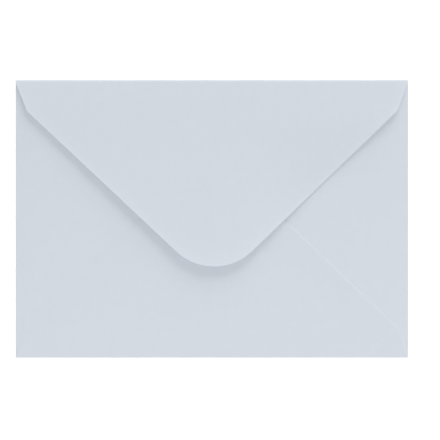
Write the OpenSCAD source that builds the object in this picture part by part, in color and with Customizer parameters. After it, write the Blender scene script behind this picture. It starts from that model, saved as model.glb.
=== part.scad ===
// Paper envelope, empty, with its flap folded over but not stuck down.
// It is one folded sheet: a front panel, two side flaps folded in over it, a bottom flap
// glued on top of them, and a pointed top flap that springs up a little from its crease.
// It lies on the front panel. X is the width, +Y points to the top crease, Z is up,
// and the origin is under the middle of the front panel. Lengths are in millimetres.

/* [Envelope] */
// Width across the side folds
env_w = 229; // [210:1:250]
// Height from the bottom fold to the top crease
env_h = 162; // [150:1:176]
// Thickness of the paper
paper_t = 0.15; // [0.1:0.01:0.25]
// Room inside the pocket, from the front panel to the side flaps
pocket_gap = 1; // [0.6:0.1:1.6]
// Cut-out between the end of a side fold and the next fold
corner_notch = 2.5; // [2:0.1:4]
// Width of the slit that frees the front panel's corner from the side fold
corner_slit = 0.5; // [0.3:0.1:1]

/* [Top flap] */
// Depth of the top flap, from the crease to the tip
top_depth = 108.6; // [95:0.1:120]
// Radius of the top flap's tip
top_tip_r = 32; // [20:0.5:45]
// How far the top flap's tip leans to the right of the middle
top_lean = 1.1; // [0:0.1:2]
// How far the top flap narrows at each shoulder
top_shoulder_in = 7; // [4:0.1:10]
// Depth at which the shoulders of the top flap end
top_shoulder_drop = 18.2; // [14:0.1:24]
// Rounding of the top flap's shoulders
top_shoulder_r = 9; // [4:0.5:14]
// Air between the top flap and the bottom flap, measured at the crease
flap_clear = 0.5; // [0.2:0.1:1]
// Height by which the top flap springs up close to its crease
crease_rise = 0.8; // [0.4:0.1:1.4]
// Distance from the crease at which most of that height is reached
crease_reach = 8; // [5:0.5:14]
// Angle at which the top flap goes on rising towards its tip
spring_angle = 1; // [0.4:0.1:2]

/* [Bottom flap] */
// Depth of the bottom flap, from the fold to the tip
bottom_depth = 104.4; // [95:0.1:115]
// Radius of the bottom flap's tip
bottom_tip_r = 43; // [25:0.5:50]
// How far the bottom flap narrows at each shoulder
bottom_shoulder_in = 5; // [4:0.1:8]
// Depth at which the shoulders of the bottom flap end
bottom_shoulder_drop = 16.6; // [14:0.1:20]
// Rounding of the bottom flap's shoulders
bottom_shoulder_r = 8; // [4:0.5:14]

/* [Side flaps] */
// Width of the glued seam, where the bottom flap lies on a side flap
seam_lap = 16; // [10:0.5:20]
// Width by which the top flap covers the upper edge of a side flap
throat_lap = 15; // [10:0.5:20]
// Radius of the side flaps' tips
side_tip_r = 16; // [8:0.5:24]

/* [Hidden] */
$fn = 48;

// Colour of the paper
paper = [0.827, 0.851, 0.878];

// Inner radius of each fold, from the layers that it wraps
side_r = pocket_gap / 2;
bottom_r = (pocket_gap + paper_t) / 2;
top_r = (pocket_gap + 2 * paper_t + flap_clear) / 2;

// Lines at which the flat front panel ends and each fold begins
side_x = env_w / 2 - side_r - paper_t;
bottom_y = -env_h / 2 + bottom_r + paper_t;
top_y = env_h / 2 - top_r - paper_t;

// Ends of the side folds
side_end_bottom = bottom_y + corner_notch;
side_end_top = top_y - corner_notch;

// Length of the front panel that each fold is drawn with, so that the two join
root = 1;
// How far a cutting outline reaches past what it cuts
past = 5;
// Number of straight pieces in the section of the top flap, shorter near the crease
flap_steps = 24;

// Point at distance r from c in the direction a
function polar(c, r, a) = c + r * [cos(a), sin(a)];

// Arc about c from direction a0 to direction a1, in n steps
function arc(c, r, a0, a1, n) = [for (i = [0:n]) polar(c, r, a0 + (a1 - a0) * i / n)];

function unit(v) = v / norm(v);

// Arc of radius r that rounds the corner p of the path from a by p to b
function rounded(a, p, b, r, n) =
    let (
        u = unit(a - p),
        v = unit(b - p),
        half = acos(u * v) / 2,
        c = p + unit(u + v) * r / sin(half),
        start = p + u * r / tan(half) - c,
        turn = sign(cross(u, v)) * (2 * half - 180)
    )
    arc(c, r, atan2(start.y, start.x), atan2(start.y, start.x) + turn, n);

// Direction, seen from the centre c of a tip, in which the straight edge from the
// shoulder p on the right of the flap touches the tip
function edge_normal(p, c, r) = atan2(p.y - c.y, p.x - c.x) + acos(r / norm(p - c));

// Right shoulder of a pointed flap whose fold lies on y = 0 and whose tip points to +Y
function shoulder(in, drop) = [env_w / 2 - in, drop];

// Half of a pointed flap's outline, from its fold over the right shoulder to the tip
function half_flap(depth, tip_r, lean, in, drop, shoulder_r, fold) =
    let (
        s = shoulder(in, drop),
        c = [lean, depth - tip_r],
        a = edge_normal(s, c, tip_r),
        corner = [env_w / 2, fold]
    )
    concat(
        [[env_w / 2, -past], corner],
        rounded(corner, s, polar(c, tip_r, a), shoulder_r, 6),
        arc(c, tip_r, a, 90, 16)
    );

// Outline of a whole pointed flap: the left half is the right half drawn with the
// opposite lean and turned over
module pointed_flap(depth, tip_r, lean, in, drop, shoulder_r, fold) {
    right = half_flap(depth, tip_r, lean, in, drop, shoulder_r, fold);
    left = half_flap(depth, tip_r, -lean, in, drop, shoulder_r, fold);
    flipped = [for (i = [len(left) - 2:-1:0]) [-left[i].x, left[i].y]];
    polygon(concat(right, flipped));
}

// Section of a fold about the origin: a half turn of paper, with the end of the front
// panel below it
module fold_section(r) {
    outer = r + paper_t;
    intersection() {
        difference() {
            circle(outer);
            circle(r);
        }
        translate([0, -2 * outer]) square([2 * outer, 4 * outer]);
    }
    translate([-root, -outer]) square([root, paper_t]);
}

// Section of a flat flap that leads back over the panel from a fold about the origin
module flat_section(r, length) {
    translate([-length, r]) square([length, paper_t]);
}

// Rise of the top flap at distance d from its crease
function rise(d) = crease_rise * (1 - exp(-d / crease_reach)) + d * tan(spring_angle);

// Section of the top flap from its crease to its tip, with the crease at the origin
module sprung_section(length) {
    steps = [for (i = [0:flap_steps]) length * pow(i / flap_steps, 1.5)];
    lower = [for (d = steps) [-d, top_r + rise(d)]];
    upper = [for (i = [flap_steps:-1:0]) lower[i] + [0, paper_t]];
    polygon(concat(lower, upper));
}

// Draws a section that stands across the width, from its fold to the middle
module across_width() {
    rotate([90, 0, 90]) linear_extrude(env_w, center = true) children();
}

// Draws a section that stands along the height, from y0 to y1
module along_height(y0, y1) {
    translate([0, y1, 0]) rotate([90, 0, 0]) linear_extrude(y1 - y0) children();
}

// Cuts a folded strip to its outline in plan
module cut_to_outline() {
    intersection() {
        children(0);
        translate([0, 0, -past]) linear_extrude(env_h) children(1);
    }
}

// The flat front panel, as wide as the side folds leave it, with full corners
module front_panel() {
    linear_extrude(paper_t) {
        translate([-side_x, bottom_y]) square([2 * side_x, top_y - bottom_y]);
        corner_strip(bottom_y, side_end_bottom - corner_slit);
        corner_strip(side_end_top + corner_slit, top_y);
    }
}

// Full-width end of the front panel, next to the bottom or top fold
module corner_strip(y0, y1) {
    translate([-env_w / 2, y0]) square([env_w, y1 - y0]);
}

// Point where the lines with normals m and n, at distances j and k, cross
function crossing(m, j, n, k) = [j * n.y - k * m.y, k * m.x - j * n.x] / cross(m, n);

// Outline of the right side flap: its edges run beside those of the bottom and top
// flaps, hidden under them by the laps, and meet in a rounded tip
module side_outline() {
    low = shoulder(bottom_shoulder_in, bottom_shoulder_drop);
    high = shoulder(top_shoulder_in, top_shoulder_drop);
    low_a = edge_normal(low, [0, bottom_depth - bottom_tip_r], bottom_tip_r);
    high_a = edge_normal(high, [0, top_depth - top_tip_r], top_tip_r);
    low_n = polar([0, 0], 1, low_a);
    high_n = polar([0, 0], 1, -high_a);
    tip = crossing(
        low_n, low_n * [low.x, low.y - env_h / 2] - seam_lap,
        high_n, high_n * [high.x, env_h / 2 - high.y] - throat_lap
    );
    low_far = tip + env_w * [low_n.y, -low_n.x];
    high_far = tip + env_w * [-high_n.y, high_n.x];
    intersection() {
        polygon(concat([low_far], rounded(low_far, tip, high_far, side_tip_r, 16), [high_far]));
        translate([0, side_end_bottom]) square([env_w, side_end_top - side_end_bottom]);
    }
}

// Right side flap with its fold
module side_flap() {
    cut_to_outline() {
        along_height(side_end_bottom, side_end_top)
            translate([side_x, side_r + paper_t]) {
                fold_section(side_r);
                flat_section(side_r, side_x);
            }
        side_outline();
    }
}

// Bottom flap with its fold, lying on the side flaps
module bottom_flap() {
    cut_to_outline() {
        across_width()
            translate([bottom_y, bottom_r + paper_t])
                mirror([1, 0]) {
                    fold_section(bottom_r);
                    flat_section(bottom_r, bottom_depth);
                }
        translate([0, -env_h / 2])
            pointed_flap(
                bottom_depth, bottom_tip_r, 0, bottom_shoulder_in, bottom_shoulder_drop,
                bottom_shoulder_r, bottom_r + paper_t
            );
    }
}

// Top flap with its crease, sprung open
module top_flap() {
    cut_to_outline() {
        across_width()
            translate([top_y, top_r + paper_t]) {
                fold_section(top_r);
                sprung_section(top_depth);
            }
        translate([0, env_h / 2])
            mirror([0, 1])
                pointed_flap(
                    top_depth, top_tip_r, top_lean, top_shoulder_in, top_shoulder_drop,
                    top_shoulder_r, top_r + paper_t
                );
    }
}

// The whole sheet
module envelope() {
    color(paper) {
        front_panel();
        side_flap();
        mirror([1, 0, 0]) side_flap();
        bottom_flap();
        top_flap();
    }
}

envelope();
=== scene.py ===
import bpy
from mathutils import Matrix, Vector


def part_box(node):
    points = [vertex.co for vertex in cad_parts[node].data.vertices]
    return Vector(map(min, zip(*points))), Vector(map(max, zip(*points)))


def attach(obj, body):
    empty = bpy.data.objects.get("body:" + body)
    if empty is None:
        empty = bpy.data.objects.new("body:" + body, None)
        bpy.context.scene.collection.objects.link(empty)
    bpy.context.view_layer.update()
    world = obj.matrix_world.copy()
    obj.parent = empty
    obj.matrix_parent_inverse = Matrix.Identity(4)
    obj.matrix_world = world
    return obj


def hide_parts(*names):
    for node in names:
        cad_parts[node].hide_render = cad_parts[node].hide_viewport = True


bl_info = {
    "name": "Paper Envelope",
    "version": (1, 0, 0),
    "blender": (4, 5, 0),
    "location": "3D View > Sidebar > Envelope",
    "description": "Cuts, folds and lights a blank paper envelope with a pointed flap",
    "category": "Add Mesh",
}

from math import acos, atan2, cos, exp, pi, radians, sin, tan

import bmesh
import bpy
from bpy.props import FloatProperty, FloatVectorProperty, PointerProperty
from mathutils import Vector, noise

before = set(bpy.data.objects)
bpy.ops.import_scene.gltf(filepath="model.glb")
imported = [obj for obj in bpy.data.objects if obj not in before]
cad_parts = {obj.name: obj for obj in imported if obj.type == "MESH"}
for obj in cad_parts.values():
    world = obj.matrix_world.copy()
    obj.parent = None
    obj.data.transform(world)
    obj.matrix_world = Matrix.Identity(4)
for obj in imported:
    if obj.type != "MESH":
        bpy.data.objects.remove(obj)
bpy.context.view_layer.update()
LOW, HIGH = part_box("envelope")

MM = 0.001
NUDGE = 1e-6  # a thousandth of a millimetre, less than any distance between lines
LEVEL = 1e-7  # radians, less than any bend

# How finely the sheet is drawn
FOLD_STEPS = 12
SHOULDER_STEPS = 8
TIP_STEPS = 20
SIDE_TIP_STEPS = 16
FIRST_ROWS = 0.5 * MM, 1.5 * MM  # lines beside a fold, closer than the cells
STEP_LINES = 4
RIM_LINES = 0.25, 0.5, 0.75, 1, 1.5, 2, 2.5, 3.5  # insets, in widths of the rim
SHARP = radians(35)  # the angle past which an edge shows as an edge

# Where the settled paper bends
RIM_FADE = 12 * MM  # the pressed rim fades inwards, and towards the middle of the flap
CORNER_BLEND = 1 * MM  # rounding of the rim where the flap's edge turns at the shoulder
FOLD_HOLD = 4 * MM  # close to its fold, the bottom flap is held flat
LIFT_AT, LIFT_WIDTH = 22 * MM, 12 * MM  # from the top crease
DIP_AT, DIP_WIDTH = 62 * MM, 24 * MM
NARROWING = 0.9  # share of its width that the top flap loses from shoulders to tip
WAVE_START = 30 * MM  # the slow waves set in over this distance from the crease
WAVE_X, WAVE_Y, WAVE_SLICE = 70 * MM, 55 * MM, 3.7  # their lengths, and which pattern

# The paper's pattern
BLANK_SPAN = 0.5  # side of the square, in metres, that the flat blank is mapped on
CLOUD_SIZE, FELT_SIZE, FIBRE_SIZE = 5, 3, 0.4  # millimetres
FELT_HEIGHT, FIBRE_HEIGHT = 0.0025 * MM, 0.012 * MM
WEAR_AND_HIGHLIGHT_LIGHTER = 0.012  # share of its colour that paper gains per unit of wear at a fold, and per unit of painted highlight at the left seam

# The stage
FLOOR_SIZE = 40  # metres, so that its far edge is out of sight in low views
FLOOR_GAP = 0.01 * MM  # keeps the floor from cutting into the paper
SENSOR = 36  # millimetres


def linear(hex_colour):
    """Turns an sRGB colour such as #D3D9E0 into the linear values that shaders take."""
    parts = [int(hex_colour[i : i + 2], 16) / 255 for i in (1, 3, 5)]
    return [c / 12.92 if c < 0.04045 else ((c + 0.055) / 1.055) ** 2.4 for c in parts]


# Sizes, colours and lights that a user would change


class SheetSettings(bpy.types.PropertyGroup):
    """The sheet of paper, its folds and its hidden side flaps."""

    width: FloatProperty(
        name="Width", description="Across the side folds",
        default=HIGH.x - LOW.x, unit="LENGTH",
    )
    height: FloatProperty(
        name="Height", description="From the bottom fold to the top crease",
        default=HIGH.y - LOW.y, unit="LENGTH",
    )
    thickness: FloatProperty(
        name="Thickness", description="Thickness of the paper",
        default=0.15 * MM, unit="LENGTH",
    )
    side_radius: FloatProperty(
        name="Side fold radius", description="Middle of the paper, pressed flat",
        default=0.30 * MM, unit="LENGTH",
    )
    bottom_radius: FloatProperty(
        name="Bottom fold radius", description="Middle of the paper, over the side flaps",
        default=0.385 * MM, unit="LENGTH",
    )
    top_radius: FloatProperty(
        name="Top crease radius", description="Middle of the paper, sprung open",
        default=0.975 * MM, unit="LENGTH",
    )
    corner_notch: FloatProperty(
        name="Corner notch", description="From the end of a side fold to the next fold",
        default=1.2 * MM, unit="LENGTH",
    )
    corner_slit: FloatProperty(
        name="Corner slit", description="Slit between the front's corner and a side fold",
        default=0.2 * MM, unit="LENGTH",
    )
    seam_lap: FloatProperty(
        name="Seam lap", description="How far the bottom flap lies on a side flap",
        default=16 * MM, unit="LENGTH",
    )
    throat_lap: FloatProperty(
        name="Throat lap", description="How far the top flap covers a side flap",
        default=15 * MM, unit="LENGTH",
    )
    side_tip_radius: FloatProperty(
        name="Side tip radius", description="Rounding of the side flaps' tips",
        default=16 * MM, unit="LENGTH",
    )
    cell: FloatProperty(
        name="Cell", description="Spacing of the lines that the paper bends at",
        default=3 * MM, unit="LENGTH",
    )


class TopFlapSettings(bpy.types.PropertyGroup):
    """The pointed flap that closes the envelope, and how it springs up."""

    depth: FloatProperty(
        name="Depth", description="From the crease to the tip",
        default=108.6 * MM, unit="LENGTH",
    )
    tip_radius: FloatProperty(
        name="Tip radius", description="Rounding of the tip", default=32 * MM, unit="LENGTH"
    )
    lean: FloatProperty(
        name="Lean", description="How far the tip is right of the middle",
        default=1.2 * MM, unit="LENGTH",
    )
    shoulder_in: FloatProperty(
        name="Shoulder inset", description="How far the flap narrows at a shoulder",
        default=6.85 * MM, unit="LENGTH",
    )
    shoulder_drop: FloatProperty(
        name="Shoulder drop", description="Depth at which a shoulder ends",
        default=18.2 * MM, unit="LENGTH",
    )
    shoulder_radius: FloatProperty(
        name="Shoulder radius", description="Rounding of a shoulder",
        default=5 * MM, unit="LENGTH",
    )
    crease_rise: FloatProperty(
        name="Crease rise", description="How far the flap springs up close to its crease",
        default=0.75 * MM, unit="LENGTH",
    )
    crease_reach: FloatProperty(
        name="Crease reach", description="How soon the flap levels out after its crease",
        default=12 * MM, unit="LENGTH",
    )
    slope: FloatProperty(
        name="Slope", description="Angle at which the flap goes on rising",
        default=radians(1.02), subtype="ANGLE",
    )


class BottomFlapSettings(bpy.types.PropertyGroup):
    """The pointed flap that is glued on the side flaps."""

    depth: FloatProperty(
        name="Depth", description="From the fold to the tip",
        default=104.4 * MM, unit="LENGTH",
    )
    tip_radius: FloatProperty(
        name="Tip radius", description="Rounding of the tip", default=43 * MM, unit="LENGTH"
    )
    lean: FloatProperty(
        name="Lean", description="How far the tip is right of the middle",
        default=0.7 * MM, unit="LENGTH",
    )
    shoulder_in: FloatProperty(
        name="Shoulder inset", description="How far the flap narrows at a shoulder",
        default=4.8 * MM, unit="LENGTH",
    )
    shoulder_drop: FloatProperty(
        name="Shoulder drop", description="Depth at which a shoulder ends",
        default=16.6 * MM, unit="LENGTH",
    )
    shoulder_radius: FloatProperty(
        name="Shoulder radius", description="Rounding of a shoulder",
        default=8 * MM, unit="LENGTH",
    )


class SettleSettings(bpy.types.PropertyGroup):
    """How the folded paper comes to rest."""

    pocket: FloatProperty(
        name="Pocket", description="Room in the middle of the pocket",
        default=1 * MM, unit="LENGTH",
    )
    pocket_reach: FloatProperty(
        name="Pocket reach", description="How soon the pocket opens away from its folds",
        default=18 * MM, unit="LENGTH",
    )
    rim: FloatProperty(
        name="Rim", description="How far the bottom flap's right edge lies below the rest",
        default=0.1 * MM, unit="LENGTH",
    )
    rim_more: FloatProperty(
        name="Rim, more", description="What is added to that in the middle of the flap",
        default=0.15 * MM, unit="LENGTH",
    )
    rim_width: FloatProperty(
        name="Rim width", description="Width of the edge that is pressed down",
        default=0.9 * MM, unit="LENGTH",
    )
    step: FloatProperty(
        name="Step", description="How far the bottom flap drops past a side flap's edge",
        default=0.03 * MM, unit="LENGTH",
    )
    step_width: FloatProperty(
        name="Step width", description="Width over which it drops",
        default=4 * MM, unit="LENGTH",
    )
    lift: FloatProperty(
        name="Shoulder lift", description="How far the top flap's right shoulder stands up",
        default=0.6 * MM, unit="LENGTH",
    )
    dip: FloatProperty(
        name="Edge dip", description="How far its right edge dips half way to the tip",
        default=1.8 * MM, unit="LENGTH",
    )
    wave: FloatProperty(
        name="Wave", description="Height of the slow waves in the top flap",
        default=0.12 * MM, unit="LENGTH",
    )


class PaperSettings(bpy.types.PropertyGroup):
    """Colour and surface of the paper."""

    colour: FloatVectorProperty(
        name="Colour", description="Bright white with a cool tint",
        default=linear("#E8EEF6"), size=3, subtype="COLOR", min=0, max=1,
    )
    roughness: FloatProperty(
        name="Roughness", description="Of the uncoated surface",
        default=0.85, min=0, max=1, subtype="FACTOR",
    )
    through: FloatProperty(
        name="Through", description="Share of the light that goes into the sheet",
        default=0.20, min=0, max=1, subtype="FACTOR",
    )
    # Strength of the painted highlight along the left seam, in units of the wear at a fold
    wear_and_seam_highlight: FloatProperty(
        name="Wear", description="Of the fibres at the left seam, where a fold's is 1",
        default=2, min=0,
    )
    # Width of the strip of painted highlight along the left seam
    seam_highlight_width: FloatProperty(
        name="Wear width", description="Width of the worn strip at the left seam",
        default=0.4 * MM, unit="LENGTH",
    )


class StudioSettings(bpy.types.PropertyGroup):
    """The picture and the lights."""

    view_width: FloatProperty(
        name="View width", description="Width of the picture at the floor",
        default=256.7 * MM, unit="LENGTH",
    )
    view_x: FloatProperty(
        name="View X", description="Middle of the picture", default=4.68 * MM, unit="LENGTH"
    )
    view_y: FloatProperty(
        name="View Y", description="Middle of the picture", default=-0.61 * MM, unit="LENGTH"
    )
    lens: FloatProperty(
        name="Lens", description="Focal length in millimetres", default=150
    )
    dome: FloatProperty(
        name="Dome", description="Light from all round", default=0.355
    )
    main: FloatProperty(
        name="Main", description="Light of the soft box on the envelope", default=0.475
    )
    main_bearing: FloatProperty(
        name="Main bearing", description="Direction of the soft box, from +X to +Y",
        default=radians(-78), subtype="ANGLE",
    )
    main_height: FloatProperty(
        name="Main height", description="Angle of the soft box above the floor",
        default=radians(50), subtype="ANGLE",
    )
    main_distance: FloatProperty(
        name="Main distance", description="From the envelope to the soft box",
        default=3.0, unit="LENGTH",
    )
    main_size: FloatProperty(
        name="Main size", description="Side of the soft box", default=1.8, unit="LENGTH"
    )
    key: FloatProperty(
        name="Key", description="Light of the low lamp on the envelope", default=0.165
    )
    key_bearing: FloatProperty(
        name="Key bearing", description="Direction that the lamp stands in, from +X to +Y",
        default=radians(76), subtype="ANGLE",
    )
    key_height: FloatProperty(
        name="Key height", description="Angle of the lamp above the floor",
        default=radians(16), subtype="ANGLE",
    )
    key_size: FloatProperty(
        name="Key size", description="How wide the lamp looks from the envelope",
        default=radians(33), subtype="ANGLE",
    )


class EnvelopeSettings(bpy.types.PropertyGroup):
    """All settings of the envelope."""

    sheet: PointerProperty(type=SheetSettings)
    top: PointerProperty(type=TopFlapSettings)
    bottom: PointerProperty(type=BottomFlapSettings)
    settle: PointerProperty(type=SettleSettings)
    paper: PointerProperty(type=PaperSettings)
    studio: PointerProperty(type=StudioSettings)


# Outlines, seen from above


def polar(centre, radius, angle):
    return centre + radius * Vector((cos(angle), sin(angle)))


def rounded(before, corner, after, radius, steps):
    """Points of the arc that rounds a corner of a path."""
    u, v = (before - corner).normalized(), (after - corner).normalized()
    half = u.angle(v) / 2
    centre = corner + (u + v).normalized() * radius / sin(half)
    start = corner + u * radius / tan(half) - centre
    turned = (pi - 2 * half) * (-1 if u.cross(v) > 0 else 1)
    first = atan2(start.y, start.x)
    return [polar(centre, radius, first + turned * i / steps) for i in range(steps + 1)]


def edge_normal(shoulder, centre, radius):
    """Direction in which the straight edge from a right shoulder touches the tip."""
    d = shoulder - centre
    return atan2(d.y, d.x) + acos(radius / d.length)


def right_shoulder(sheet, flap):
    """Where a flap's right shoulder ends, with its fold on y = 0 and its tip at +Y."""
    return Vector((sheet.width / 2 - flap.shoulder_in, flap.shoulder_drop))


def half_flap(sheet, flap, lean, fold):
    """Right half of a pointed flap, from its fold on y = 0 to its tip at +Y."""
    corner = Vector((sheet.width / 2, fold))
    shoulder = right_shoulder(sheet, flap)
    centre = Vector((lean, flap.depth - flap.tip_radius))
    angle = edge_normal(shoulder, centre, flap.tip_radius)
    touch = polar(centre, flap.tip_radius, angle)
    bend = rounded(corner, shoulder, touch, flap.shoulder_radius, SHOULDER_STEPS)
    tip = [
        polar(centre, flap.tip_radius, angle + (pi / 2 - angle) * i / TIP_STEPS)
        for i in range(TIP_STEPS + 1)
    ]
    return [corner, *bend, *tip]


def pointed_outline(sheet, flap, fold):
    """Whole outline of a pointed flap, anticlockwise from the right end of its fold."""
    right = half_flap(sheet, flap, flap.lean, fold)
    left = half_flap(sheet, flap, -flap.lean, fold)
    return right + [Vector((-p.x, p.y)) for p in reversed(left[:-1])]


def crossing(m, j, n, k):
    """Point where the lines with normals m and n, at distances j and k, cross."""
    return Vector((j * n.y - k * m.y, k * m.x - j * n.x)) / m.cross(n)


def side_edges(sheet, bottom, top):
    """Normals and distances of the lower and the upper edge of the right side flap."""
    found = []
    for flap, lap, way in ((bottom, sheet.seam_lap, 1), (top, sheet.throat_lap, -1)):
        shoulder = right_shoulder(sheet, flap)
        centre = Vector((flap.lean, flap.depth - flap.tip_radius))
        angle = edge_normal(shoulder, centre, flap.tip_radius)
        normal = Vector((cos(angle), way * sin(angle)))
        place = Vector((shoulder.x, way * (shoulder.y - sheet.height / 2)))
        found.append((normal, normal.dot(place) - lap))
    return found


def shoulder_edge(sheet, flap, fold):
    """Normal and distance of a flap's right shoulder, from its fold to the long edge."""
    corner = Vector((sheet.width / 2, fold))
    shoulder = right_shoulder(sheet, flap)
    normal = Vector((shoulder.y - corner.y, corner.x - shoulder.x)).normalized()
    return normal, normal.dot(corner)


def side_outline(sheet, bottom, top):
    """Outline of the right side flap, from its lower to its upper edge."""
    (low, j), (high, k) = side_edges(sheet, bottom, top)
    tip = crossing(low, j, high, k)
    low_far = tip + sheet.width * Vector((low.y, -low.x))
    high_far = tip + sheet.width * Vector((-high.y, high.x))
    bend = rounded(low_far, tip, high_far, sheet.side_tip_radius, SIDE_TIP_STEPS)
    return [low_far, *bend, high_far]


# Cutting the blank


def select(piece, test, kind="VERT"):
    """Selects the vertices or edges of the mesh in edit mode that pass a test."""
    bpy.ops.mesh.select_mode(type=kind)
    bpy.ops.mesh.select_all(action="DESELECT")
    shape = bmesh.from_edit_mesh(piece.data)
    for part in shape.verts if kind == "VERT" else shape.edges:
        if test(part):
            part.select_set(True)
    shape.select_flush_mode()
    bmesh.update_edit_mesh(piece.data)


def on_line(edge, axis, place, low, high):
    """True for an edge that lies on a line across an axis, between two ends."""
    other = 1 - axis
    return all(
        abs(v.co[axis] - place) < NUDGE and low - NUDGE < v.co[other] < high + NUDGE
        for v in edge.verts
    )


def draw_line(point, normal, beyond=False):
    """Draws a line right across what is shown, and can cut off what lies beyond it."""
    bpy.ops.mesh.select_all(action="SELECT")
    bpy.ops.mesh.bisect(
        plane_co=(*point, 0), plane_no=(*normal, 0), clear_outer=beyond, threshold=NUDGE
    )


def grow_arm(piece, arm):
    """Draws an arm of the blank out from its fold line, row by row."""
    axis = 0 if arm.out.x else 1
    way = arm.out[axis]
    low, high = arm.root
    select(piece, lambda e: on_line(e, axis, way * arm.line, low, high), "EDGE")
    last = arm.line
    for row in arm.rows[1:]:
        step = arm.out * (row - last)
        bpy.ops.mesh.extrude_region_move(TRANSFORM_OT_translate={"value": (*step, 0)})
        last = row


def trim_arm(piece, arm):
    """Cuts an arm to its outline and draws the lines that it settles along. It is cut
    along each side of the outline in turn, which works because none of them is hollow."""
    select(piece, lambda v: arm.reach(v.co) > arm.line - NUDGE and arm.holds(v.co))
    bpy.ops.mesh.hide(unselected=True)
    inside = arm.out * (arm.line + MM)  # surely inside: it is beside the fold
    for p, q in zip(arm.outline, arm.outline[1:]):
        normal = Vector((q.y - p.y, p.x - q.x)).normalized()
        if normal.dot(p - inside) < 0:
            normal.negate()
        draw_line(p, normal, beyond=True)
    for point, normal in arm.creases:
        draw_line(point, normal)
    bpy.ops.mesh.reveal()


class Arm:
    """One flap of the blank, before it is folded. `out` is the way to its tip, `line`
    the distance at which its fold begins, `root` the ends of the fold and `start` the
    distance at which it ends. The paper turns by `turns` at `rows`, is cut to `outline`,
    has more lines at `creases` and, on one flap, an edge `painted_highlight` where a
    highlight is painted. `lift` gives the height that it springs up to."""

    def __init__(self, out, line, root, radius, cell, length, lift=lambda out: 0.0):
        self.out, self.line, self.root = Vector(out), line, root
        half = pi / FOLD_STEPS / 2
        chord = 2 * radius * sin(half)
        self.rows = [line + chord * i for i in range(FOLD_STEPS + 1)]
        self.start = self.rows[-1]
        last = FIRST_ROWS[-1]
        count = round((length - last) / cell)
        step = (length - last) / count
        flat = [0.0, *FIRST_ROWS, *(last + step * (i + 1) for i in range(count))]
        slopes = [atan2(lift(b) - lift(a), b - a) for a, b in zip(flat, flat[1:])]
        self.rows += [self.start + out for out in flat[1:]]
        self.turns = [half] + [2 * half] * (FOLD_STEPS - 1) + [half - slopes[0]]
        self.turns += [a - b for a, b in zip(slopes, slopes[1:])] + [0.0]
        self.outline, self.creases, self.painted_highlight = [], [], None

    def reach(self, point):
        """Distance of a point of the blank from its middle, towards this arm's tip."""
        return point[0] * self.out.x + point[1] * self.out.y

    def holds(self, point):
        """True if a point lies between the ends of this arm's root."""
        across = point[1] if self.out.x else point[0]
        return self.root[0] - NUDGE < across < self.root[1] + NUDGE

    def has(self, point):
        """True if a point of the blank lies on this arm."""
        return self.reach(point) > self.line + NUDGE and self.holds(point)


def lay_out(s):
    """The four arms of the blank with their outlines: right, left, bottom and top. With
    them come the half width of the front panel, and its lower and upper end."""
    sheet = s.sheet
    half = sheet.thickness / 2
    side = sheet.width / 2 - sheet.side_radius - half
    low = -sheet.height / 2 + sheet.bottom_radius + half
    high = sheet.height / 2 - sheet.top_radius - half
    ends = low + sheet.corner_notch, high - sheet.corner_notch
    across = -sheet.width / 2, sheet.width / 2

    def sprung(out):
        eased = s.top.crease_rise * (1 - exp(-out / s.top.crease_reach))
        return eased + out * tan(s.top.slope)

    arms = [
        Arm((1, 0), side, ends, sheet.side_radius, sheet.cell, side),
        Arm((-1, 0), side, ends, sheet.side_radius, sheet.cell, side),
        Arm((0, -1), -low, across, sheet.bottom_radius, sheet.cell, s.bottom.depth),
        Arm((0, 1), high, across, sheet.top_radius, sheet.cell, s.top.depth, sprung),
    ]
    for arm in arms[:2]:
        unfold = 2 * arm.line + (arm.start - arm.line)
        arm.outline = [
            Vector((arm.out.x * (unfold - p.x), p.y))
            for p in side_outline(sheet, s.bottom, s.top)
        ]
    for arm, flap in ((arms[2], s.bottom), (arms[3], s.top)):
        fold = sheet.height / 2 - arm.line
        arm.outline = [
            Vector((p.x, arm.out.y * (p.y - fold + arm.start)))
            for p in pointed_outline(sheet, flap, fold)
        ]
    draw_seams(s, arms[2])
    return arms, side, low, high


def draw_seams(s, bottom):
    """Adds the lines of the bottom flap that let its right edge be pressed down, let it
    drop past the edges of the side flaps under it, and bound the strip of painted
    highlight on its left edge. The left edge has a direction of its own, because the tip
    leans."""
    (normal, _), _ = side_edges(s.sheet, s.bottom, s.top)
    across, _ = shoulder_edge(s.sheet, s.bottom, s.sheet.height / 2 - bottom.line)
    corner, touch = bottom.outline[0], bottom.outline[SHOULDER_STEPS + 1]
    step = [
        s.sheet.seam_lap + s.settle.step_width * i / STEP_LINES
        for i in range(STEP_LINES + 1)
    ]
    rim = [s.settle.rim_width * i for i in RIM_LINES]
    for way, at, n, insets in (
        (1, touch, normal, rim + step), (1, corner, across, rim), (-1, touch, normal, step),
    ):
        n = Vector((way * n.x, -n.y))
        at = Vector((way * at.x, at.y))
        bottom.creases += [(at - n * inset, n) for inset in insets]
    # The strip along the left edge is given a painted highlight in the material
    p, q = bottom.outline[-SHOULDER_STEPS - 2], bottom.outline[-SHOULDER_STEPS - 3]
    n = Vector((q.y - p.y, p.x - q.x)).normalized()
    bottom.painted_highlight = p, n
    bottom.creases += [(p - n * (s.paper.seam_highlight_width * i), n) for i in (1, 2)]


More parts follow.
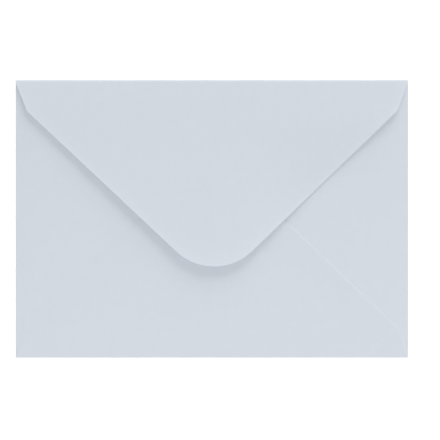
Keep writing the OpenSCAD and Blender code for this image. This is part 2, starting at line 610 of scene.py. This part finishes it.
def cut_blank(s):
    """Draws the flat blank: the front panel and the four arms round it."""
    sheet = s.sheet
    arms, side, low, high = lay_out(s)
    ends = arms[0].root
    bpy.ops.mesh.primitive_grid_add(
        x_subdivisions=round(2 * side / sheet.cell),
        y_subdivisions=round((high - low) / sheet.cell), size=1,
    )
    piece = bpy.context.object
    piece.name = piece.data.name = "envelope_sheet"
    bpy.ops.object.mode_set(mode="EDIT")
    bpy.ops.transform.resize(value=(2 * side, high - low, 1), center_override=(0, 0, 0))
    bpy.ops.transform.translate(value=(0, (high + low) / 2, sheet.thickness / 2))
    for inset in FIRST_ROWS:
        for x in (side - inset, inset - side):
            draw_line((x, 0), (1, 0))
        for y in (low + inset, high - inset):
            draw_line((0, y), (0, 1))
    strips = ends[0] - sheet.corner_slit, ends[1] + sheet.corner_slit
    for y in (*ends, *strips):
        draw_line((0, y), (0, 1))
    for way in (1, -1):
        select(
            piece,
            lambda e: on_line(e, 0, way * side, low, strips[0])
            or on_line(e, 0, way * side, strips[1], high),
            "EDGE",
        )
        out = way * (sheet.width / 2 - side)
        bpy.ops.mesh.extrude_region_move(TRANSFORM_OT_translate={"value": (out, 0, 0)})
    for arm in arms:
        grow_arm(piece, arm)
        trim_arm(piece, arm)
    bpy.ops.object.mode_set(mode="OBJECT")
    return piece, arms


# Folding and settling


def turn(angle, axis, centre):
    """Turns what is selected by the right-hand rule. With no window, Blender's own
    operator turns the other way."""
    bpy.ops.transform.rotate(
        value=-angle, orient_axis=axis, orient_type="GLOBAL", center_override=centre
    )


def fold_arm(piece, arm, blank, z):
    """Folds an arm up and over, a little at each row, as a creasing bar does."""
    axis, sense = ("Y", -arm.out.x) if arm.out.x else ("X", arm.out.y)
    along, heading = arm.line, 0.0
    beyond = [arm.reach(p) if arm.holds(p) else 0.0 for p in blank]
    for i, (row, angle) in enumerate(zip(arm.rows, arm.turns)):
        if abs(angle) > LEVEL:
            select(piece, lambda v: beyond[v.index] > row + NUDGE)
            turn(sense * angle, axis, (arm.out.x * along, arm.out.y * along, z))
            heading += angle
        if i + 1 < len(arm.rows):
            step = arm.rows[i + 1] - row
            along += step * cos(heading)
            z += step * sin(heading)


def smooth(t):
    """Runs from 0 to 1 with level ends."""
    t = min(max(t, 0.0), 1.0)
    return t * t * (3 - 2 * t)


def lesser(a, b, blend):
    """The lesser of two distances, rounded off where they are nearly the same."""
    return min(a, b) - max(blend - abs(a - b), 0) ** 2 / (4 * blend)


def beside_edge(inset, width):
    """Runs from 0 at an edge to 1 at a width inside it, and then fades away."""
    return smooth(inset / width) * (1 - smooth((inset - width) / RIM_FADE))


def hump(distance, width):
    """A smooth hump, 1 at its middle."""
    return exp(-((distance / width) ** 2))


def right_edge_wave(s, x, out):
    """Height of the wave along the top flap's right edge: up at the shoulder, down half
    way to the tip, and fading towards the middle of the flap."""
    flap = s.top
    down = (out - flap.shoulder_drop) / (flap.depth - flap.shoulder_drop)
    half_width = (s.sheet.width / 2 - flap.shoulder_in) * (1 - NARROWING * max(down, 0))
    up = s.settle.lift * hump(out - LIFT_AT, LIFT_WIDTH)
    wave = up - s.settle.dip * hump(out - DIP_AT, DIP_WIDTH)
    return wave * smooth(x / half_width)


def settle(piece, s, arms, blank):
    """Lets the folded paper come to rest. The pocket opens away from its folds, the
    bottom flap follows the side flaps under it, and the top flap keeps slow waves."""
    sheet, rest = s.sheet, s.settle
    right, left, bottom, top = arms
    closed = 2 * sheet.side_radius - sheet.thickness
    (low, j), _ = side_edges(sheet, s.bottom, s.top)
    edge = j + sheet.seam_lap
    across, reach = shoulder_edge(sheet, s.bottom, sheet.height / 2 - bottom.line)
    for v, flat in zip(piece.data.vertices, blank):
        x, y = abs(v.co.x), v.co.y
        side_in = max(right.line - x, 0)
        bottom_in = max(y + bottom.line, 0)
        opened = (1 - exp(-side_in / rest.pocket_reach)) * (
            1 - exp(-bottom_in / rest.pocket_reach)
        )
        rise = (rest.pocket - closed) * opened
        if top.has(flat):
            out = top.reach(flat) - top.start
            if out > 0:
                free = smooth(out / WAVE_START)
                place = Vector((v.co.x / WAVE_X, v.co.y / WAVE_Y, WAVE_SLICE))
                v.co.z += rest.wave * free * noise.noise(place)
                v.co.z += right_edge_wave(s, v.co.x, out)
        elif bottom.has(flat):
            if bottom.reach(flat) > bottom.start:
                inset = edge - low.dot(Vector((x, y)))
                beside = reach - across.dot(Vector((x, y + sheet.height / 2)))
                near = lesser(inset, beside, CORNER_BLEND)
                rim = rest.rim + rest.rim_more * (1 - 2 * x / sheet.width)
                rim *= beside_edge(near, rest.rim_width) * smooth(v.co.x / RIM_FADE)
                drop = rest.step * smooth((inset - sheet.seam_lap) / rest.step_width)
                v.co.z += rise + smooth(bottom_in / FOLD_HOLD) * (rim - drop)
        elif right.has(flat) or left.has(flat):
            if abs(flat.x) > right.start:
                v.co.z += rise


class ENVELOPE_OT_sheet(bpy.types.Operator):
    """Cut the envelope's blank, fold it and let it settle"""

    bl_idname = "envelope.sheet"
    bl_label = "Make the envelope"

    def execute(self, context):
        s = context.scene.envelope
        piece, arms = cut_blank(s)
        mesh = piece.data
        blank = [v.co.to_2d() for v in mesh.vertices]
        add_blank_map(mesh, blank)
        bpy.ops.object.mode_set(mode="EDIT")
        for arm in arms:
            fold_arm(piece, arm, blank, s.sheet.thickness / 2)
        bpy.ops.object.mode_set(mode="OBJECT")
        settle(piece, s, arms, blank)
        mark_wear_and_seam_highlight(mesh, s.paper, arms, blank)
        wall = piece.modifiers.new("Thickness", "SOLIDIFY")
        wall.thickness, wall.offset = s.sheet.thickness, 0
        bpy.ops.object.modifier_apply(modifier=wall.name)
        bpy.ops.object.shade_smooth_by_angle(angle=SHARP)
        mesh.materials.append(wove_paper(s))
        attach(piece, "root")
        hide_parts("envelope")
        return {"FINISHED"}


def add_blank_map(mesh, blank):
    """Maps each corner to its place on the flat blank, so a pattern follows the paper."""
    layer = mesh.uv_layers.new(name="blank")
    corners = [0] * len(mesh.loops)
    mesh.loops.foreach_get("vertex_index", corners)
    places = [c / BLANK_SPAN + 0.5 for i in corners for c in blank[i]]
    layer.uv.foreach_set("vector", places)


def mark_wear_and_seam_highlight(mesh, paper, arms, blank):
    """Marks for the material the broken fibres, 1 where the paper was bent sharply at a
    fold, and a painted highlight along the bottom flap's left edge at the left seam."""
    marks = mesh.attributes.new("wear_and_seam_highlight", "FLOAT", "POINT")
    bottom = arms[2]
    at, normal = bottom.painted_highlight
    for mark, flat in zip(marks.data, blank):
        if any(arm.has(flat) and arm.reach(flat) < arm.start - NUDGE for arm in arms):
            mark.value = 1
        # painted highlight along the left seam
        elif bottom.has(flat) and (at - flat).dot(normal) < paper.seam_highlight_width + NUDGE:
            mark.value = paper.wear_and_seam_highlight


# Materials


def add(tree, kind, inputs=None, **settings):
    """Adds a node with its settings and inputs. An input given a socket is linked."""
    made = tree.nodes.new(kind)
    for name, value in settings.items():
        setattr(made, name, value)
    for name, value in (inputs or {}).items():
        if isinstance(value, bpy.types.NodeSocket):
            tree.links.new(value, made.inputs[name])
        else:
            made.inputs[name].default_value = value
    return made


def new_material(name):
    """A material with an empty tree and its output."""
    material = bpy.data.materials.new(name)
    material.use_nodes = True
    material.node_tree.nodes.clear()
    return material, add(material.node_tree, "ShaderNodeOutputMaterial")


def wove_paper(s):
    """Uncoated white wove paper, machine made and matt."""
    material, output = new_material("uncoated_wove_paper")
    tree = material.node_tree
    paper = s.paper
    blank = add(tree, "ShaderNodeUVMap", uv_map="blank").outputs["UV"]
    span = BLANK_SPAN / MM

    # The look-through: fibres lie a little thicker and thinner in clouds of about 5 mm.
    clouds = add(
        tree, "ShaderNodeTexNoise",
        {"Vector": blank, "Scale": span / CLOUD_SIZE, "Detail": 4, "Roughness": 0.6},
    ).outputs["Fac"]
    shade = add(
        tree, "ShaderNodeMapRange",
        {
            "Value": clouds, "From Min": 0.25, "From Max": 0.75,
            "To Min": 0.990, "To Max": 1.010,
        },
    ).outputs["Result"]

    # Broken fibres make the paper a little lighter and rougher at its folds; along the left
    # seam the same lightening is a painted highlight.
    wear_and_seam_highlight = add(tree, "ShaderNodeAttribute", attribute_name="wear_and_seam_highlight").outputs["Fac"]
    shade = add(
        tree, "ShaderNodeMath", {0: wear_and_seam_highlight, 1: WEAR_AND_HIGHLIGHT_LIGHTER, 2: shade},
        operation="MULTIPLY_ADD",
    ).outputs["Value"]
    roughness = add(
        tree, "ShaderNodeMapRange", {"Value": wear_and_seam_highlight, "To Min": paper.roughness}
    ).outputs["Result"]
    colour = add(
        tree, "ShaderNodeVectorMath",
        {0: tuple(paper.colour), "Scale": shade}, operation="SCALE",
    ).outputs["Vector"]

    # The surface: pressed fibres about 0.4 mm long, and broad swells of 3 mm from the felt.
    fibres = add(
        tree, "ShaderNodeTexNoise",
        {
            "Vector": blank, "Scale": span / FIBRE_SIZE, "Detail": 3, "Roughness": 0.65,
            "Distortion": 0.6,
        },
    ).outputs["Fac"]
    felt = add(
        tree, "ShaderNodeTexNoise",
        {"Vector": blank, "Scale": span / FELT_SIZE, "Detail": 2, "Roughness": 0.5},
    ).outputs["Fac"]
    coarse = add(
        tree, "ShaderNodeBump", {"Height": felt, "Strength": 1.0, "Distance": FELT_HEIGHT}
    ).outputs["Normal"]
    fine = add(
        tree, "ShaderNodeBump",
        {"Height": fibres, "Strength": 1.0, "Distance": FIBRE_HEIGHT, "Normal": coarse},
    ).outputs["Normal"]
    surface = add(
        tree, "ShaderNodeBsdfPrincipled",
        {
            "Base Color": colour, "Roughness": roughness, "IOR": 1.5,
            "Specular IOR Level": 0.35, "Normal": fine,
        },
    )
    # Light passes through a single sheet, so the underside of a raised flap glows a little.
    through = add(
        tree, "ShaderNodeBsdfTranslucent", {"Color": (1, 1, 1, 1), "Normal": fine}
    )
    sheet = add(
        tree, "ShaderNodeMixShader",
        {0: paper.through, 1: surface.outputs["BSDF"], 2: through.outputs["BSDF"]},
    )
    tree.links.new(sheet.outputs["Shader"], output.inputs["Surface"])
    return material


def white_board():
    """The matt white board of the floor, lit so that it shows as plain white."""
    material, output = new_material("matt_white_board")
    tree = material.node_tree
    surface = add(
        tree, "ShaderNodeBsdfPrincipled",
        {
            "Base Color": (*linear("#F4F4F4"), 1), "Roughness": 0.9,
            "Emission Color": (1, 1, 1, 1), "Emission Strength": 0.4,
        },
    )
    tree.links.new(surface.outputs["BSDF"], output.inputs["Surface"])
    return material


# The stage


def direction(bearing, height):
    """Unit vector from the envelope towards a lamp."""
    return Vector((cos(height) * cos(bearing), cos(height) * sin(bearing), sin(height)))


class ENVELOPE_OT_studio(bpy.types.Operator):
    """Lay the white floor and set up the soft light and the camera above"""

    bl_idname = "envelope.studio"
    bl_label = "Make the studio"

    def execute(self, context):
        scene, studio = context.scene, context.scene.envelope.studio
        bpy.ops.object.select_all(action="DESELECT")
        bpy.ops.mesh.primitive_plane_add(size=FLOOR_SIZE, location=(0, 0, -FLOOR_GAP))
        floor = context.object
        floor.name = "floor"
        floor.data.materials.append(white_board())

        scene.world = bpy.data.worlds.new("soft_dome")
        scene.world.use_nodes = True
        tree = scene.world.node_tree
        tree.nodes.clear()
        dome = add(
            tree, "ShaderNodeBackground", {"Color": (1, 1, 1, 1), "Strength": studio.dome}
        )
        add(tree, "ShaderNodeOutputWorld", {"Surface": dome.outputs["Background"]})

        towards = direction(studio.main_bearing, studio.main_height)
        bpy.ops.object.light_add(
            type="AREA", location=towards * studio.main_distance,
            rotation=towards.to_track_quat("Z", "Y").to_euler(),
        )
        main = context.object
        main.name, main.data.size = "soft_box", studio.main_size
        main.data.energy = studio.main * (pi * studio.main_distance) ** 2 / towards.z

        towards = direction(studio.key_bearing, studio.key_height)
        bpy.ops.object.light_add(
            type="SUN", rotation=towards.to_track_quat("Z", "Y").to_euler()
        )
        key = context.object
        key.name, key.data.angle = "low_lamp", studio.key_size
        key.data.energy = studio.key * pi / towards.z

        away = studio.view_width * studio.lens / SENSOR
        bpy.ops.object.camera_add(location=(studio.view_x, studio.view_y, away))
        camera = context.object
        camera.name = "camera_above"
        camera.data.sensor_width, camera.data.lens = SENSOR, studio.lens
        camera.data.clip_start, camera.data.clip_end = 0.05, 50
        scene.camera = camera
        scene.view_settings.view_transform = "Standard"
        return {"FINISHED"}


class ENVELOPE_PT_panel(bpy.types.Panel):
    """Sizes, paper and light of the envelope"""

    bl_idname = "ENVELOPE_PT_panel"
    bl_label = "Paper Envelope"
    bl_space_type = "VIEW_3D"
    bl_region_type = "UI"
    bl_category = "Envelope"

    def draw(self, context):
        settings = context.scene.envelope
        for name in ("sheet", "top", "bottom", "settle", "paper", "studio"):
            box = self.layout.box()
            box.label(text=name.capitalize())
            group = getattr(settings, name)
            for prop in group.__annotations__:
                box.prop(group, prop)
        self.layout.operator(ENVELOPE_OT_sheet.bl_idname)
        self.layout.operator(ENVELOPE_OT_studio.bl_idname)


CLASSES = (
    SheetSettings, TopFlapSettings, BottomFlapSettings, SettleSettings, PaperSettings,
    StudioSettings, EnvelopeSettings, ENVELOPE_OT_sheet, ENVELOPE_OT_studio,
    ENVELOPE_PT_panel,
)


def register():
    for made in CLASSES:
        bpy.utils.register_class(made)
    bpy.types.Scene.envelope = PointerProperty(type=EnvelopeSettings)


def unregister():
    del bpy.types.Scene.envelope
    for made in reversed(CLASSES):
        bpy.utils.unregister_class(made)


def main():
    """Registers the classes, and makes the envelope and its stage."""
    register()
    bpy.ops.object.select_all(action="DESELECT")
    bpy.ops.envelope.sheet()
    bpy.ops.envelope.studio()
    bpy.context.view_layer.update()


if __name__ == "__main__":
    main()
